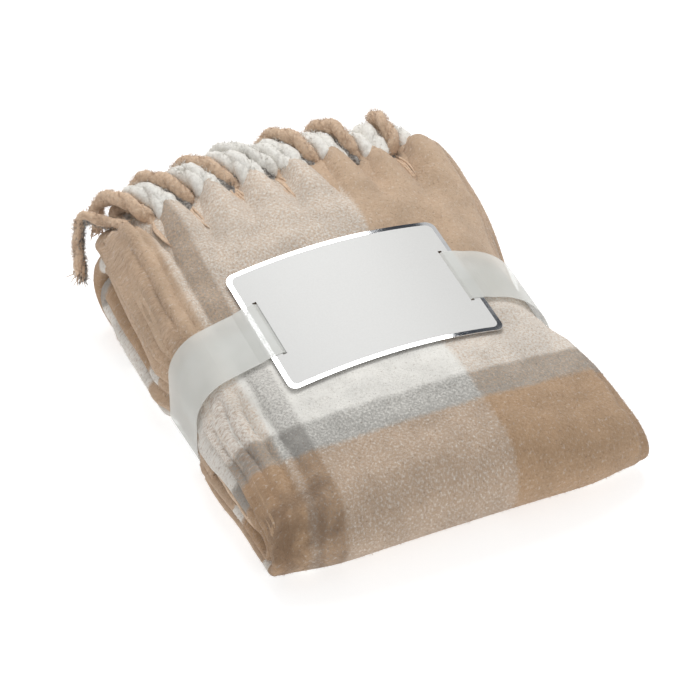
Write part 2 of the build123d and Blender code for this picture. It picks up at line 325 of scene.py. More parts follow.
def shape(x, y, z, run, height):
    """Carry points of the square stack to the real, crowned, squeezed and rumpled bundle."""
    side_share = smooth(np.abs(x), 40 * MM, 120 * MM)
    level_shift = 2.2 * MM * ripple(y * 0.5, run * 31 * MM, 170 * MM, 11)
    level_shift = level_shift - 3.0 * MM * smooth(np.abs(height), 1.0, 2.0)
    x = x * (1 + PLUMP / HALF_WIDTH) + np.sign(x) * side_share * level_shift

    share = (z - BASE_Z) / (stack_height(y) - BASE_Z)
    tight = 1 - smooth(np.abs(y - BAND_Y), BAND_HALF, BAND_HALF + 45 * MM)
    wide = top_height(x, y, 28 * MM)
    sharp = top_height(x, y, 17 * MM)
    top = wide * tight + sharp * (1 - tight)
    z = BASE_Z + share * (top - BASE_Z)
    z = z - CLOTH_THICKNESS / 2 * share

    pull = 6.0 * MM * smooth(np.abs(x), 30 * MM, 125 * MM)
    edge = (2 * np.clip(share, 0, 1) - 1) ** 4
    x = x - np.sign(x) * pull * edge

    corner = smooth(np.abs(x), 70 * MM, 127 * MM) ** 1.5
    y = y - 9 * MM * np.clip((FRONT_Y + 70 * MM - y) / (70 * MM), 0, 1.1)
    y = y + 8 * MM * corner * (1 - smooth(y, FRONT_Y, FRONT_Y + 75 * MM))
    y = y - 5 * MM * corner * smooth(y, BACK_Y - 60 * MM, BACK_Y)

    gap, out_x, out_z = outside_section(x, y, z)
    room = loose_room(x, y, z)
    depth = np.clip(PLUMP - gap, 0, None)
    move = (room - PLUMP) * np.exp(-depth / SQUEEZE_DEPTH)
    move = np.minimum(move, room - gap) * (gap > room) + move * (gap <= room)
    move = np.where(gap > -0.5, move, 0)
    lumps = 0.9 * MM * ripple(x, y + z, 38 * MM, 21) + 0.45 * MM * ripple(x + z, y, 15 * MM, 22)
    lumps = lumps * (1 - 0.7 * smooth(np.abs(x), 112 * MM, 124 * MM))
    free = np.clip((room + 1 * MM) / (4 * MM), 0, 1)
    move = move + lumps * free * np.exp(-depth / SQUEEZE_DEPTH)
    move = move - side_grooves(x, y, z) * free * np.exp(-depth / SQUEEZE_DEPTH)
    x = x + out_x * move
    z = z + out_z * move

    on_top_level = (run == 0).astype(float)
    layer_share = np.clip((height + 2) / 4, 0, 1)
    z = z + pleats(x, y, on_top_level * (0.25 + 0.75 * layer_share))
    lip = smooth(y, TOP_END_Y - 26 * MM, TOP_END_Y + 2 * MM) ** 1.6
    z = z - on_top_level * lip * (2 + 4 * layer_share) * MM
    at_end = on_top_level * smooth(y, TOP_END_Y - 40 * MM, TOP_END_Y)
    lobe = 0.5 + 0.5 * np.cos(2 * math.pi * ((x - TASSEL_X[0]) / TASSEL_PITCH - 0.5))
    lobe = np.where(np.abs(x + 3 * MM) > 105 * MM, 1.0, lobe)
    y = y + at_end * (7 * MM * lobe + (1 - layer_share) * 16 * MM)
    z = z + 8 * MM * on_top_level * smooth(x, 84 * MM, 112 * MM) * smooth(y, 60 * MM, 115 * MM)
    z = np.maximum(z, BASE_Z + CLOTH_THICKNESS / 2 + 0.05 * MM)
    return x, y, z


def new_mesh_object(name, vertices, faces, material, smooth_shading=True):
    mesh = bpy.data.meshes.new(name)
    mesh.from_pydata([tuple(v) for v in vertices], [], faces)
    mesh.materials.append(material)
    if smooth_shading:
        mesh.polygons.foreach_set("use_smooth", [True] * len(mesh.polygons))
    mesh.update()
    piece = bpy.data.objects.new(name, mesh)
    bpy.context.scene.collection.objects.link(piece)
    return piece


def apply_modifiers(piece):
    """Replace the piece's mesh by what its modifiers make of it."""
    bpy.context.view_layer.update()
    graph = bpy.context.evaluated_depsgraph_get()
    mesh = bpy.data.meshes.new_from_object(piece.evaluated_get(graph))
    piece.modifiers.clear()
    piece.data = mesh


def make_cloth(material):
    points, normals, runs, along = level_path()
    a, b, height, across = strip_section()
    ratio = np.clip((points[:, 0] - FRONT_ROLL[0]) / ROLL_SPAN, -0.1, 1.15)
    level = PITCH_FRONT - GAP_FRONT + (PITCH_BACK - GAP_BACK - PITCH_FRONT + GAP_FRONT) * ratio
    pitch = (level - 0.8 * CLOTH_THICKNESS) / 4

    x = a[None, :] * (HALF_WIDTH - 0.5 * CLOTH_THICKNESS) + b[None, :] * pitch[:, None]
    lift = height[None, :] * pitch[:, None]
    y = points[:, 0][:, None] + normals[:, 0][:, None] * lift
    z = points[:, 1][:, None] + normals[:, 1][:, None] * lift
    run = np.repeat(runs[:, None], len(a), axis=1).astype(float)
    layer = np.repeat(height[None, :], len(points), axis=0)
    x, y, z = shape(x, y, z, run, layer)

    rows, columns = x.shape
    vertices = np.stack([x, y, z], axis=2).reshape(-1, 3)
    faces = []
    for row in range(rows - 1):
        for column in range(columns - 1):
            corner = row * columns + column
            faces.append((corner, corner + columns, corner + columns + 1, corner + 1))
    piece = new_mesh_object("throw_cloth", vertices, faces, material)
    flat = piece.data.uv_layers.new(name="flat")
    u = np.repeat(across[None, :], rows, axis=0).reshape(-1)
    v = np.repeat(along[:, None], columns, axis=1).reshape(-1)
    corners = np.empty(len(piece.data.loops), int)
    piece.data.loops.foreach_get("vertex_index", corners)
    flat.data.foreach_set("uv", np.stack([u[corners], v[corners]], axis=1).reshape(-1))
    thick = piece.modifiers.new("thickness", "SOLIDIFY")
    thick.thickness = CLOTH_THICKNESS
    thick.offset = 0
    apply_modifiers(piece)
    return piece


# ---- tassels ---------------------------------------------------------------------------------
def smooth_path(points, count):
    """Evenly spaced points along a smooth curve through the given points."""
    points = np.array(points, float)
    padded = np.vstack([2 * points[0] - points[1], points, 2 * points[-1] - points[-2]])
    curve = []
    for index in range(1, len(padded) - 2):
        p0, p1, p2, p3 = padded[index - 1: index + 3]
        for t in np.linspace(0, 1, 24, endpoint=False):
            curve.append(0.5 * (
                2 * p1 + (p2 - p0) * t + (2 * p0 - 5 * p1 + 4 * p2 - p3) * t ** 2
                + (3 * p1 - p0 - 3 * p2 + p3) * t ** 3
            ))
    curve.append(points[-1])
    curve = np.array(curve)
    along = np.concatenate([[0], np.cumsum(np.linalg.norm(np.diff(curve, axis=0), axis=1))])
    even = np.linspace(0, along[-1], count)
    return np.stack([np.interp(even, along, curve[:, k]) for k in range(3)], axis=1)


def path_frames(path):
    """A tangent and two steady cross directions at each point of a path."""
    tangents = np.gradient(path, axis=0)
    tangents /= np.linalg.norm(tangents, axis=1)[:, None]
    side = np.cross(tangents[0], (0, 0, 1))
    if np.linalg.norm(side) < 0.1:
        side = np.cross(tangents[0], (1, 0, 0))
    sides = []
    for tangent in tangents:
        side = side - tangent * side.dot(tangent)
        side /= np.linalg.norm(side)
        sides.append(side)
    sides = np.array(sides)
    return tangents, sides, np.cross(tangents, sides)


class Bundle:
    """Collects the tubes that make up one mesh."""

    def __init__(self):
        self.vertices = []
        self.faces = []
        self.colours = []

    def tube(self, path, radii, sides=8, ribs=0.0, twist=0.0, colour=0):
        """A closed tube along a path; ribs and twist give it a plied surface."""
        _, across, up = path_frames(path)
        first = len(self.vertices)
        for index, point in enumerate(path):
            for side in range(sides):
                angle = 2 * math.pi * side / sides
                bump = 1 + ribs * math.cos(3 * angle - twist * index)
                offset = across[index] * math.cos(angle) + up[index] * math.sin(angle)
                self.vertices.append(point + offset * radii[index] * bump)
        for index in range(len(path) - 1):
            for side in range(sides):
                a = first + index * sides + side
                b = first + index * sides + (side + 1) % sides
                self.faces.append((a, b, b + sides, a + sides))
        self.faces.append(tuple(first + side for side in reversed(range(sides))))
        last = first + (len(path) - 1) * sides
        self.faces.append(tuple(last + side for side in range(sides)))
        self.colours += [colour] * (len(self.faces) - len(self.colours))

    def make(self, name, materials):
        """The mesh object, painted with the material each tube asked for."""
        piece = new_mesh_object(name, self.vertices, self.faces, materials[0])
        for material in materials[1:]:
            piece.data.materials.append(material)
        piece.data.polygons.foreach_set("material_index", self.colours)
        return piece


def add_rope(bundle, points, radius, rng, detail=1.0, fray=True, colour=0):
    """A tassel: two soft strands twisted round each other, frayed at the cut end."""
    length = sum(np.linalg.norm(np.diff(np.array(points), axis=0), axis=1))
    count = max(10, int(length / (1.0 * MM) * detail))
    path = smooth_path(points, count)
    _, across, up = path_frames(path)
    share = np.linspace(0, 1, count)
    turns = length / (42 * MM)
    start = rng.uniform(0, 2 * math.pi)
    swell = 1 + 0.12 * np.interp(share, np.linspace(0, 1, 9), rng.uniform(-1, 1, 9))
    spread = np.interp(share, [0, 0.12, 0.85, 1], [0.2, 0.24, 0.24, 0.42]) * radius
    for strand in range(2):
        angle = start + 2 * math.pi * (strand / 2 + turns * share)
        line = path + spread[:, None] * (
            across * np.cos(angle)[:, None] + up * np.sin(angle)[:, None]
        )
        thickness = radius * 0.82 * swell
        thickness = thickness * np.interp(share, [0, 0.06, 0.9, 1], [0.8, 1, 0.95, 0.6])
        thickness = thickness * (1 + 0.035 * rng.standard_normal(count))
        bundle.tube(
            line, thickness, sides=max(7, int(12 * detail)), ribs=0.04, twist=0.9, colour=colour
        )
        if fray:
            add_fray(bundle, line, radius, rng, int(14 * detail), colour)
    if fray:
        add_fuzz_hairs(bundle, path, radius, rng, int(length / (0.085 * MM) * detail), colour)


def add_fray(bundle, line, radius, rng, count, colour):
    """Loose yarn ends at the cut end of a tassel."""
    heading = line[-1] - line[-3]
    heading /= np.linalg.norm(heading)
    for _ in range(count):
        wander = rng.normal(0, 0.45, 3)
        offset = rng.normal(0, 0.3, 3) * radius
        reach = rng.uniform(4, 8) * MM
        begin = line[-2] + offset - heading * 1.5 * MM
        middle = begin + (heading + 0.4 * wander) * reach * 0.5
        tip = begin + (heading + wander) * reach
        fibre = np.array([begin, middle, tip])
        bundle.tube(fibre, np.array([0.45, 0.4, 0.2]) * MM, sides=3, colour=colour)


def add_fuzz_hairs(bundle, path, radius, rng, count, colour):
    """Short hairs that stand out of a brushed tassel."""
    tangents, across, up = path_frames(path)
    for _ in range(count):
        index = rng.integers(1, len(path) - 1)
        angle = rng.uniform(0, 2 * math.pi)
        out = across[index] * math.cos(angle) + up[index] * math.sin(angle)
        begin = path[index] + out * radius * 0.85
        forward = tangents[index] * rng.normal(0, 0.9)
        sideways = np.cross(tangents[index], out) * rng.normal(0, 0.7)
        lean = out + forward + sideways
        tip = begin + lean * rng.uniform(1.0, 2.8) * MM
        fibre = np.array([begin, (begin + tip) / 2 + rng.normal(0, 0.15, 3) * MM, tip])
        bundle.tube(fibre, np.array([0.16, 0.13, 0.05]) * MM, sides=3, colour=colour)


def add_gather(bundle, root, start, rng, width, colour, count=11):
    """The loose warp ends that draw together from the woven edge into a tassel."""
    for index in range(count):
        spread = (index / (count - 1) - 0.5) * width
        begin = np.array(root) + np.array([spread * 0.4, 0, 0])
        begin = begin + np.array([0, abs(spread) * 0.8, abs(spread) * 0.18])
        end = np.array(start) + rng.normal(0, 0.8, 3) * MM
        middle = (begin + end) / 2 + np.array([spread * 0.35, 0, 0.6 * MM])
        yarn = smooth_path([begin, middle, end], 7)
        bundle.tube(yarn, np.array([0.3, 0.6, 0.8, 1.0, 1.1, 1.0, 0.8]) * MM, sides=6, colour=colour)


def cloth_top(x, y, height=2.0):
    """A point on the top level's cloth, from where it lies in the square stack."""
    pitch = (PITCH_BACK - GAP_BACK - 0.8 * CLOTH_THICKNESS) / 4
    stack = stack_height(y) - 0.5 * (PITCH_BACK - GAP_BACK) + height * pitch
    one = np.ones(1)
    px, py, pz = shape(x * one, y * one, stack * one, 0 * one, height * one)
    return np.array([px[0], py[0], pz[0]])


def crown_at(x, y):
    return crown_height(y) - CROWN_RADIUS + math.sqrt(CROWN_RADIUS ** 2 - x ** 2)


TASSEL_LEAN = [20, 22, 23, 26, 20, 16, -3]      # how far each outer tassel leans to -X, in mm


def outer_tassel_route(index, rng):
    """From a valley in the woven edge, back over the bundle's edge, and down."""
    x = TASSEL_X[index]
    lean = TASSEL_LEAN[index] * MM
    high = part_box(f"tassel_{index + 1}")[1]
    hang_y = high.y - 4.5 * MM
    top = crown_at(x, TOP_END_Y) + (rng.uniform(1.0, 3.0) + 0.045 * TASSEL_X[index] / MM) * MM
    root = cloth_top(x, TOP_END_Y - 1 * MM) + np.array([0, 3 * MM, 2.5 * MM])
    side = rng.uniform(-2, 2) * MM
    return [
        root,
        np.array([x - 0.12 * lean, TOP_END_Y + 9 * MM, (root[2] + 2 * top) / 3]),
        np.array([x - 0.45 * lean + side, TOP_END_Y + 23 * MM, top]),
        np.array([x - 0.85 * lean + side, hang_y - 7 * MM, top - 5 * MM]),
        np.array([x - 1.05 * lean, hang_y - 1 * MM, top - 17 * MM]),
        np.array([x - 1.00 * lean - side, hang_y, top - 33 * MM]),
    ]


def make_gathers(material):
    """The drawn-together warp ends in the valleys, which stay on the cloth when a tassel lifts."""
    rng = np.random.default_rng(90)
    bundle = Bundle()
    for index in range(TASSELS):
        route = outer_tassel_route(index, rng)
        valley = cloth_top(TASSEL_X[index], TOP_END_Y - 36 * MM) + np.array([0, 0, 0.6 * MM])
        add_gather(bundle, valley, route[0] + np.array([0, 1 * MM, 0]), rng, 15 * MM, 0)
    piece = bundle.make("fringe_gathers", [material])
    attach(piece, "blanket")
    return [piece]


def make_outer_tassels(materials):
    pieces = []
    for index in range(TASSELS):
        rng = np.random.default_rng(100 + index)
        bundle = Bundle()
        route = outer_tassel_route(index, rng)
        add_rope(bundle, route, 5.0 * MM, rng)
        name = f"tassel_{index + 1}"
        piece = bundle.make(f"{name}_rope", [materials[index]])
        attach(piece, name)
        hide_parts(name)
        pieces.append(piece)
    return pieces


# The lower layers' tassels: sideways place in pitches, depth under the crown and radius in mm.
LOWER_LAYERS = [(-0.40, 0.5, 6.4), (-0.12, 5.0, 5.5), (0.16, 7.0, 5.0), (0.42, 2.0, 6.2)]
PUFF_DIPS = (1.5, 1.5)                # how far a puff runs under its own top, in mm, at two places
CORNER_DIPS = (5, 9)                  # the same for the thin tassels at the corner at -X
CORNER_LEAN = 23                      # how far the first of those leans to -X, in mm
CORNER_LEAN_STEP = 10
CORNER_EXTRA_DROP = 8                 # how much lower they hang, in mm
CORNER_THINNING = 0.62


def make_lower_fringe(materials, corner_material):
    """The other four layers' tassels, in puffs between and under the outer ones."""
    pieces = []
    for layer, (place, depth, radius) in enumerate(LOWER_LAYERS):
        rng = np.random.default_rng(200 + layer)
        node = f"fringe_layer_{layer + 2}"
        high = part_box(node)[1]
        hang_y = high.y - 3.2 * MM
        bundle = Bundle()
        for index in range(TASSELS):
            x = TASSEL_X[index] + place * TASSEL_PITCH
            top = crown_at(x, TOP_END_Y) - (depth + rng.uniform(0, 2.5)) * MM
            lean = (0.6 * TASSEL_LEAN[index] + rng.uniform(0, 8)) * MM
            at_corner = index == 0 and layer < 2
            dips = CORNER_DIPS if at_corner else PUFF_DIPS
            if at_corner:
                lean = (CORNER_LEAN + CORNER_LEAN_STEP * layer) * MM
            bend_shift = rng.uniform(-3, 3) * MM
            end_shift = rng.uniform(-4, 4) * MM
            drop = (rng.uniform(42, 52) + (CORNER_EXTRA_DROP if at_corner else 0)) * MM
            route = [
                np.array([x, TOP_END_Y - 6 * MM, top - 6 * MM]),
                np.array([x - 0.15 * lean, TOP_END_Y + 9 * MM, top - dips[0] * MM]),
                np.array([x - 0.5 * lean, TOP_END_Y + 24 * MM, top - dips[1] * MM]),
                np.array([x - 0.9 * lean, hang_y - 1 * MM, top - 9 * MM]),
                np.array([x - lean + bend_shift, hang_y, top - 26 * MM]),
                np.array([x - lean + end_shift, hang_y, top - drop]),
            ]
            thickness = radius * (CORNER_THINNING if at_corner else 1) * MM
            colour = 1 if at_corner and layer == 0 else 0
            add_rope(bundle, route, thickness, rng, detail=0.8, colour=colour)
        piece = bundle.make(f"{node}_ropes", [materials[layer], corner_material])
        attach(piece, "blanket")
        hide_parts(node)
        pieces.append(piece)
    return pieces


def make_inner_fringe(materials):
    """The tassels of the cloth's other end, laid straight inside the front roll."""
    pieces = []
    for layer in range(5):
        rng = np.random.default_rng(300 + layer)
        node = f"inner_fringe_layer_{layer + 1}"
        low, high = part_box(node)
        step = (high.x - low.x - 6 * MM) / (TASSELS - 1)
        bundle = Bundle()
        for index in range(TASSELS):
            x = low.x + 3 * MM + index * step
            ends = []
            for y in (high.y - 3 * MM, low.y + 6 * MM):
                middle = (stack_height(y) + BASE_Z) / 2
                one = np.ones(1)
                px, _, pz = shape(x * one, y * one, middle * one, 8 * one, 0 * one)
                ends.append(np.array([px[0], y, pz[0]]))
            route = [ends[0], (2 * ends[0] + ends[1]) / 3, (ends[0] + 2 * ends[1]) / 3, ends[1]]
            add_rope(bundle, route, 2.6 * MM, rng, detail=0.5, fray=False)
        piece = bundle.make(f"{node}_ropes", [materials[layer % 3]])
        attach(piece, "blanket")
        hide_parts(node)
        pieces.append(piece)
    return pieces


def make_nap(cloth, material, count):
    """The brushed pile: short fibres on the outside of the cloth, in the cloth's own colours."""
    mesh = cloth.data
    size = len(mesh.polygons)
    centres = np.empty(size * 3)
    normals = np.empty(size * 3)
    areas = np.empty(size)
    mesh.polygons.foreach_get("center", centres)
    mesh.polygons.foreach_get("normal", normals)
    mesh.polygons.foreach_get("area", areas)
    centres = centres.reshape(-1, 3)
    normals = normals.reshape(-1, 3)
    x, y, z = centres.T
    top = top_height(x, y, 17 * MM)
    outer = (z > top - 9 * MM) | (np.abs(x) > HALF_WIDTH - 8 * MM) | (y < FRONT_Y + 12 * MM)
    outer |= (y > BACK_Y - 14 * MM)
    from_band = np.abs(y - BAND_Y)
    under_card = (np.abs(x) < CARD_HALF_X + 2 * MM) & (from_band < CARD_HALF_Y + 2 * MM)
    outer &= (from_band > BAND_HALF + 2.5 * MM) & ~under_card & (z > 4 * MM)
    outward = np.stack([x / 0.125, y / 0.16, (z - 0.045) / 0.05], axis=1)
    outer &= (normals * outward).sum(axis=1) > 0
    rng = np.random.default_rng(77)
    weight = areas * outer
    chosen = rng.choice(size, size=count, p=weight / weight.sum())
    loops = {}
    flat = mesh.uv_layers["flat"].data
    vertices, faces, places = [], [], []
    for index in chosen:
        polygon = mesh.polygons[index]
        if index not in loops:
            loops[index] = (
                [np.array(mesh.vertices[v].co) for v in polygon.vertices],
                [np.array(flat[loop].uv) for loop in polygon.loop_indices],
            )
        corners, uvs = loops[index]
        s, t = rng.uniform(0, 1, 2)
        mix = [(1 - s) * (1 - t), s * (1 - t), s * t, (1 - s) * t][: len(corners)]
        mix = np.array(mix) / sum(mix)
        root = sum(m * c for m, c in zip(mix, corners))
        place = sum(m * c for m, c in zip(mix, uvs))
        normal = normals[index]
        lean = rng.normal(0, 1, 3)
        lean -= normal * lean.dot(normal)
        lean /= np.linalg.norm(lean) + 1e-9
        side = np.cross(normal, lean) * rng.uniform(0.06, 0.11) * MM
        reach = rng.uniform(0.9, 2.2) * MM
        rise = rng.uniform(0.35, 0.95)
        middle = root + (normal * rise + lean * 0.5) * reach * 0.55
        tip = root + (normal * rise * rng.uniform(0.6, 1.0) + lean) * reach
        first = len(vertices)
        vertices += [root - side, root + side, middle + side, middle - side, tip]
        faces += [(first, first + 1, first + 2, first + 3), (first + 3, first + 2, first + 4)]
        places += [place] * 7
    nap = new_mesh_object("throw_nap", vertices, faces, material)
    layer = nap.data.uv_layers.new(name="flat")
    layer.data.foreach_set("uv", np.array(places).ravel())
    return nap


# ---- materials -------------------------------------------------------------------------------
def srgb(red, green, blue):
    """A colour given as 0-255 screen values, as the renderer's linear colour."""
    def channel(value):
        value /= 255
        return value / 12.92 if value <= 0.04045 else ((value + 0.055) / 1.055) ** 2.4
    return (channel(red), channel(green), channel(blue), 1)


CAMEL = srgb(204, 177, 150)
CREAM = srgb(242, 240, 234)
GREY = srgb(156, 152, 147)
SLATE = srgb(158, 156, 151)
TAN = srgb(177, 145, 113)
BROWN = srgb(176, 147, 122)


class Nodes:
    """Short ways to add and join a material's nodes."""

    def __init__(self, name):
        self.material = bpy.data.materials.new(name)
        self.material.use_nodes = True
        self.tree = self.material.node_tree
        self.tree.nodes.clear()
        self.shader = self.add("ShaderNodeBsdfPrincipled")
        output = self.add("ShaderNodeOutputMaterial")
        self.link(self.shader.outputs[0], output.inputs["Surface"])

    def add(self, kind, **settings):
        node = self.tree.nodes.new(kind)
        for key, value in settings.items():
            setattr(node, key, value)
        return node

    def link(self, source, target):
        self.tree.links.new(source, target)

    def feed(self, socket, value):
        if hasattr(value, "is_linked"):
            self.link(value, socket)
        else:
            socket.default_value = value

    def math(self, operation, a, b=0.0, c=0.0):
        node = self.add("ShaderNodeMath", operation=operation)
        for socket, value in zip(node.inputs, (a, b, c)):
            self.feed(socket, value)
        return node.outputs[0]

    def mix(self, factor, a, b, blend="MIX"):
        node = self.add("ShaderNodeMix", data_type="RGBA", blend_type=blend)
        self.feed(node.inputs["Factor"], factor)
        self.feed(node.inputs["A"], a)
        self.feed(node.inputs["B"], b)
        return node.outputs["Result"]

    def noise(self, vector, scale, detail=2.0, roughness=0.5):
        node = self.add("ShaderNodeTexNoise")
        self.feed(node.inputs["Vector"], vector)
        node.inputs["Scale"].default_value = scale
        node.inputs["Detail"].default_value = detail
        node.inputs["Roughness"].default_value = roughness
        return node.outputs["Fac"]

    def between(self, value, low, high, to_low=0.0, to_high=1.0):
        node = self.add("ShaderNodeMapRange", interpolation_type="SMOOTHSTEP")
        for key, number in zip(("From Min", "From Max", "To Min", "To Max"), (low, high, to_low, to_high)):
            node.inputs[key].default_value = number
        self.feed(node.inputs["Value"], value)
        return node.outputs["Result"]

    def stripes(self, position, bands, length):
        """Colours in bands along a distance, repeating; bands are (start, colour)."""
        share = self.math("FRACT", self.math("DIVIDE", position, length))
        ramp = self.add("ShaderNodeValToRGB")
        self.feed(ramp.inputs["Fac"], share)
        stops = []
        blur = 1.6 * MM / length
        previous = bands[-1][1]
        for start, colour in bands:
            if start > 0:
                stops.append((start / length - blur, previous))
            stops.append((start / length + (blur if start > 0 else 0), colour))
            previous = colour
        elements = ramp.color_ramp.elements
        while len(elements) < len(stops):
            elements.new(0.5)
        for element, (place, colour) in zip(elements, stops):
            element.position = place
            element.color = colour
        return ramp.outputs["Color"]

    def bump(self, height, distance, strength=1.0, normal=None):
        node = self.add("ShaderNodeBump")
        node.inputs["Distance"].default_value = distance
        node.inputs["Strength"].default_value = strength
        self.feed(node.inputs["Height"], height)
        if normal is not None:
            self.feed(node.inputs["Normal"], normal)
        return node.outputs["Normal"]


def set_sheen(nodes, weight, roughness, tint):
    nodes.shader.inputs["Sheen Weight"].default_value = weight
    nodes.shader.inputs["Sheen Roughness"].default_value = roughness
    nodes.shader.inputs["Sheen Tint"].default_value = tint


# Warp stripes, from the outer layer's free edge at +X; weft stripes, from the fringed end.
WARP_LENGTH = 0.262
WARP = [
    (0.000, CAMEL), (0.091, CREAM), (0.203, GREY), (0.220, CREAM), (0.225, CAMEL), (0.236, BROWN),
]
WEFT_LENGTH = 0.330
WEFT = [(0.000, CAMEL), (0.128, CREAM), (0.218, SLATE), (0.238, TAN), (0.318, CREAM)]
WEFT_BOW = 12 * MM                    # how far the weft stripes bow to the front in the middle


def plaid_material():
    """Brushed plaid twill: warp and weft colours mixed yarn by yarn, with a soft nap, and painted shade
    over the front and the front-left corner.
    """
    nodes = Nodes("brushed_plaid")
    flat = nodes.add("ShaderNodeUVMap", uv_map="flat").outputs["UV"]
    parts = nodes.add("ShaderNodeSeparateXYZ")
    nodes.link(flat, parts.inputs["Vector"])
    u, v = parts.outputs["X"], parts.outputs["Y"]
    wander = nodes.noise(flat, 330.0, 4.0, 0.8)
    drift = nodes.math("MULTIPLY", nodes.math("SUBTRACT", wander, 0.5), 7.0 * MM)
    warp = nodes.stripes(nodes.math("ADD", u, drift), WARP, WARP_LENGTH)
    off_middle = nodes.math("DIVIDE", nodes.math("SUBTRACT", u, 0.121), 0.121)
    bow = nodes.math("MULTIPLY", nodes.math("MULTIPLY", off_middle, off_middle), WEFT_BOW)
    bowed = nodes.math("ADD", v, nodes.math("MINIMUM", bow, WEFT_BOW))
    weft = nodes.stripes(nodes.math("ADD", bowed, drift), WEFT, WEFT_LENGTH)

    grain = nodes.noise(flat, 620.0, 4.0, 0.75)
    diagonal = nodes.math("MULTIPLY", nodes.math("ADD", u, v), 2 * math.pi / (3.1 * MM))
    twill = nodes.math("MULTIPLY", nodes.math("SINE", diagonal), 0.018)
    # Painted shade: from just behind the front edge of the top onwards, more of the darker weft colours
    # show, so the front, which the light leaves darker, is darkened.
    twill_and_front_shade = nodes.math("ADD", twill, nodes.between(v, 0.226, 0.240, 0.0, 0.08))
    yarn = nodes.between(nodes.math("ADD", grain, twill_and_front_shade), 0.33, 0.61)
    colour = nodes.mix(yarn, warp, weft)
    colour = nodes.mix(0.35, colour, nodes.mix(0.5, warp, weft))

    flecks = nodes.between(nodes.noise(flat, 430.0, 4.0, 0.75), 0.54, 0.70, 0.0, 0.38)
    colour = nodes.mix(flecks, colour, srgb(244, 241, 235))
    pits = nodes.between(nodes.noise(flat, 560.0, 4.0, 0.75), 0.44, 0.30, 0.0, 0.55)
    colour = nodes.mix(pits, colour, srgb(120, 96, 78))
    patches = nodes.between(nodes.noise(flat, 38.0, 3.0), 0.3, 0.7, 0.90, 1.06)
    shade = nodes.add("ShaderNodeCombineXYZ")
    for socket in shade.inputs:
        nodes.link(patches, socket)
    colour = nodes.mix(1.0, colour, shade.outputs[0], "MULTIPLY")
    # Painted shade: soft dark brown patches over the front-left corner of the outer layer, which the light
    # leaves in shade.
    painted_corner_shade = nodes.between(v, 0.235, 0.262, 0.0, 0.5)
    painted_corner_shade = nodes.math("MULTIPLY", painted_corner_shade, nodes.between(v, 0.350, 0.320))
    painted_corner_shade = nodes.math("MULTIPLY", painted_corner_shade, nodes.between(u, 0.196, 0.212))
    painted_corner_shade = nodes.math("MULTIPLY", painted_corner_shade, nodes.between(u, 0.256, 0.246))
    painted_corner_shade = nodes.math("MULTIPLY", painted_corner_shade, nodes.between(nodes.noise(flat, 60.0, 3.0), 0.35, 0.6))
    colour = nodes.mix(painted_corner_shade, colour, srgb(104, 84, 68))
    nodes.link(colour, nodes.shader.inputs["Base Color"])

    nap = nodes.bump(nodes.noise(flat, 800.0, 5.0, 0.75), 1.4 * MM, 0.7)
    weave = nodes.bump(nodes.math("SINE", diagonal), 0.2 * MM, 0.12, nap)
    tufts = nodes.bump(nodes.noise(flat, 240.0, 3.0, 0.6), 1.6 * MM, 0.4, weave)
    nodes.link(tufts, nodes.shader.inputs["Normal"])
    nodes.shader.inputs["Roughness"].default_value = 0.95
    nodes.shader.inputs["Specular IOR Level"].default_value = 0.1
    set_sheen(nodes, 0.25, 0.5, (1.0, 0.96, 0.92, 1))
    return nodes.material


def yarn_material(name, colour, second):
    """Brushed twisted yarn: two close colours, fibres and a soft nap."""
    nodes = Nodes(name)
    place = nodes.add("ShaderNodeTexCoord").outputs["Object"]
    mottle = nodes.between(nodes.noise(place, 420.0, 4.0, 0.7), 0.40, 0.62)
    base = nodes.mix(mottle, colour, second)
    flecks = nodes.between(nodes.noise(place, 700.0, 3.0, 0.7), 0.55, 0.72, 0.0, 0.4)
    base = nodes.mix(flecks, base, srgb(244, 241, 235))
    pits = nodes.between(nodes.noise(place, 820.0, 2.0, 0.6), 0.36, 0.24, 0.0, 0.35)
    base = nodes.mix(pits, base, srgb(112, 86, 68))
    nodes.link(base, nodes.shader.inputs["Base Color"])
    nap = nodes.bump(nodes.noise(place, 1100.0, 3.0, 0.7), 0.9 * MM, 0.6)
    nodes.link(nap, nodes.shader.inputs["Normal"])
    nodes.shader.inputs["Roughness"].default_value = 0.95
    nodes.shader.inputs["Specular IOR Level"].default_value = 0.1
    set_sheen(nodes, 0.3, 0.5, (1.0, 0.96, 0.92, 1))
    return nodes.material


def film_material():
    """Frosted translucent packaging film."""
    nodes = Nodes("frosted_film")
    place = nodes.add("ShaderNodeTexCoord").outputs["Object"]
    cloud = nodes.noise(place, 30.0, 2.0)
    nodes.link(
        nodes.mix(nodes.between(cloud, 0.3, 0.7), srgb(224, 225, 220), srgb(236, 237, 233)),
        nodes.shader.inputs["Base Color"],
    )
    nodes.link(nodes.bump(cloud, 0.6 * MM, 0.35), nodes.shader.inputs["Normal"])
    nodes.shader.inputs["Roughness"].default_value = 0.38
    nodes.shader.inputs["Alpha"].default_value = 0.5
    nodes.shader.inputs["Specular IOR Level"].default_value = 0.5
    return nodes.material


def tape_material():
    nodes = Nodes("clear_tape")
    place = nodes.add("ShaderNodeTexCoord").outputs["Object"]
    nodes.link(nodes.bump(nodes.noise(place, 90.0), 0.2 * MM, 0.3), nodes.shader.inputs["Normal"])
    nodes.shader.inputs["Base Color"].default_value = srgb(235, 234, 226)
    nodes.shader.inputs["Roughness"].default_value = 0.15
    nodes.shader.inputs["Alpha"].default_value = 0.45
    return nodes.material


